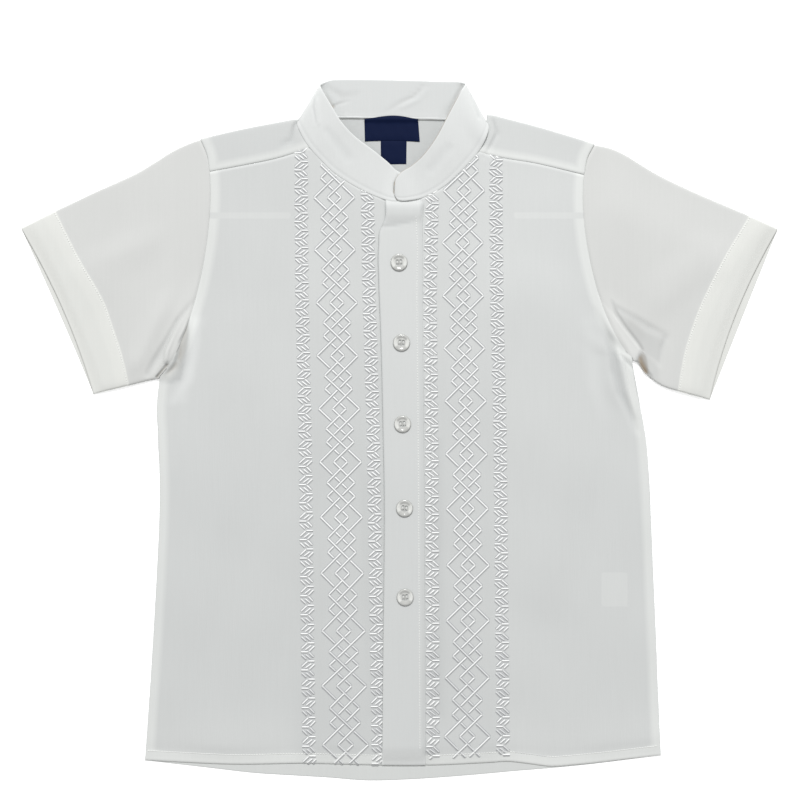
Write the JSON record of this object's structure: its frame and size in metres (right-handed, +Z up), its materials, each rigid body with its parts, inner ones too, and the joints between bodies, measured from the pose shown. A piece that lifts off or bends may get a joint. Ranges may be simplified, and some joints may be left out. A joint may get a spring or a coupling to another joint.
{
  "type": "guayabera shirt",
  "caption": "Child's white short-sleeved shirt with a stand collar, shoulder yoke and buttoned placket, laid flat with its front up.",
  "frame": {"origin": "centre of the garment's box in plan, on the surface it lies on", "axes": "+Z up from the surface, +Y towards the neck, +X towards the wearer's left"},
  "size_m": [0.5292, 0.49, 0.0085],
  "materials": {
    "cloth": "matt plain weave",
    "thread": "satin thread",
    "label": "woven satin",
    "pearl": "pearly gloss"
  },
  "bodies": {
    "root": {"back": "cloth", "yoke": "cloth", "right_front": "cloth", "left_front": "cloth", "placket": "cloth", "right_sleeve": "cloth", "left_sleeve": "cloth", "collar": "cloth", "embroidery_right_outer": "thread", "embroidery_right_lattice": "thread", "embroidery_right_inner": "thread", "embroidery_left_inner": "thread", "embroidery_left_lattice": "thread", "embroidery_left_outer": "thread", "neck_label": "label", "size_tab": "label", "button_1": "pearl", "button_2": "pearl", "button_3": "pearl", "button_4": "pearl", "button_5": "pearl"}
  },
  "joints": []
}
